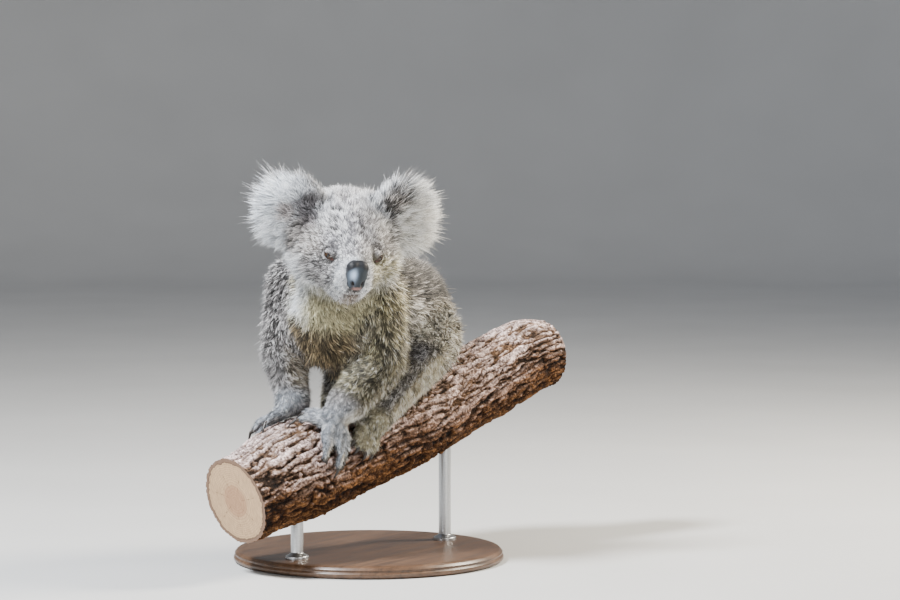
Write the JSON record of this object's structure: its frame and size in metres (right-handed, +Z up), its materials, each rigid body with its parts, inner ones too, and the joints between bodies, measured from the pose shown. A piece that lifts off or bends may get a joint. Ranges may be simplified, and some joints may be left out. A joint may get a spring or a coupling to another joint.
{
  "type": "koala",
  "caption": "Life-size still koala, head turned to its left, sitting on a cut length of rough branch held over a round display base by upright rods.",
  "frame": {"origin": "centre of the round base's underside", "axes": "+Z up; the trunk faces -Y and the animal's left side is towards +X; the perch climbs towards +Y"},
  "size_m": [0.348, 0.5453, 0.5088],
  "materials": {
    "coat_grey": "dense woolly ash-grey fur",
    "coat_pale": "pale grey to cream fur",
    "nose_leather": "bare slate-grey nose skin",
    "eye_brown": "wet dark brown eye",
    "claw_horn": "dark smooth horn",
    "bark": "rough furrowed bark",
    "stand_wood": "dark satin wood",
    "stand_steel": "satin steel rod"
  },
  "bodies": {
    "root": {"claw_foot_left_2": "claw_horn", "claw_foot_left_3": "claw_horn", "claw_foot_left_4": "claw_horn", "claw_foot_left_5": "claw_horn", "claw_foot_right_2": "claw_horn", "claw_foot_right_3": "claw_horn", "claw_foot_right_4": "claw_horn", "claw_foot_right_5": "claw_horn", "claw_hand_left_1": "claw_horn", "claw_hand_left_2": "claw_horn", "claw_hand_left_3": "claw_horn", "claw_hand_left_4": "claw_horn", "claw_hand_left_5": "claw_horn", "claw_hand_right_1": "claw_horn", "claw_hand_right_2": "claw_horn", "claw_hand_right_3": "claw_horn", "claw_hand_right_4": "claw_horn", "claw_hand_right_5": "claw_horn", "ear_left": "coat_pale", "ear_right": "coat_pale", "eye_left": "eye_brown", "eye_right": "eye_brown", "foot_left": "coat_pale", "foot_right": "coat_pale", "forearm_left": "coat_grey", "forearm_right": "coat_grey", "hand_left": "coat_pale", "hand_right": "coat_pale", "head": "coat_grey", "neck": "coat_grey", "nose": "nose_leather", "perch": "bark", "shank_left": "coat_grey", "shank_right": "coat_grey", "stand_base": "stand_wood", "stand_rod_front": "stand_steel", "stand_rod_rear": "stand_steel", "thigh_left": "coat_grey", "thigh_right": "coat_grey", "trunk": "coat_grey", "upper_arm_left": "coat_grey", "upper_arm_right": "coat_grey"}
  },
  "joints": []
}
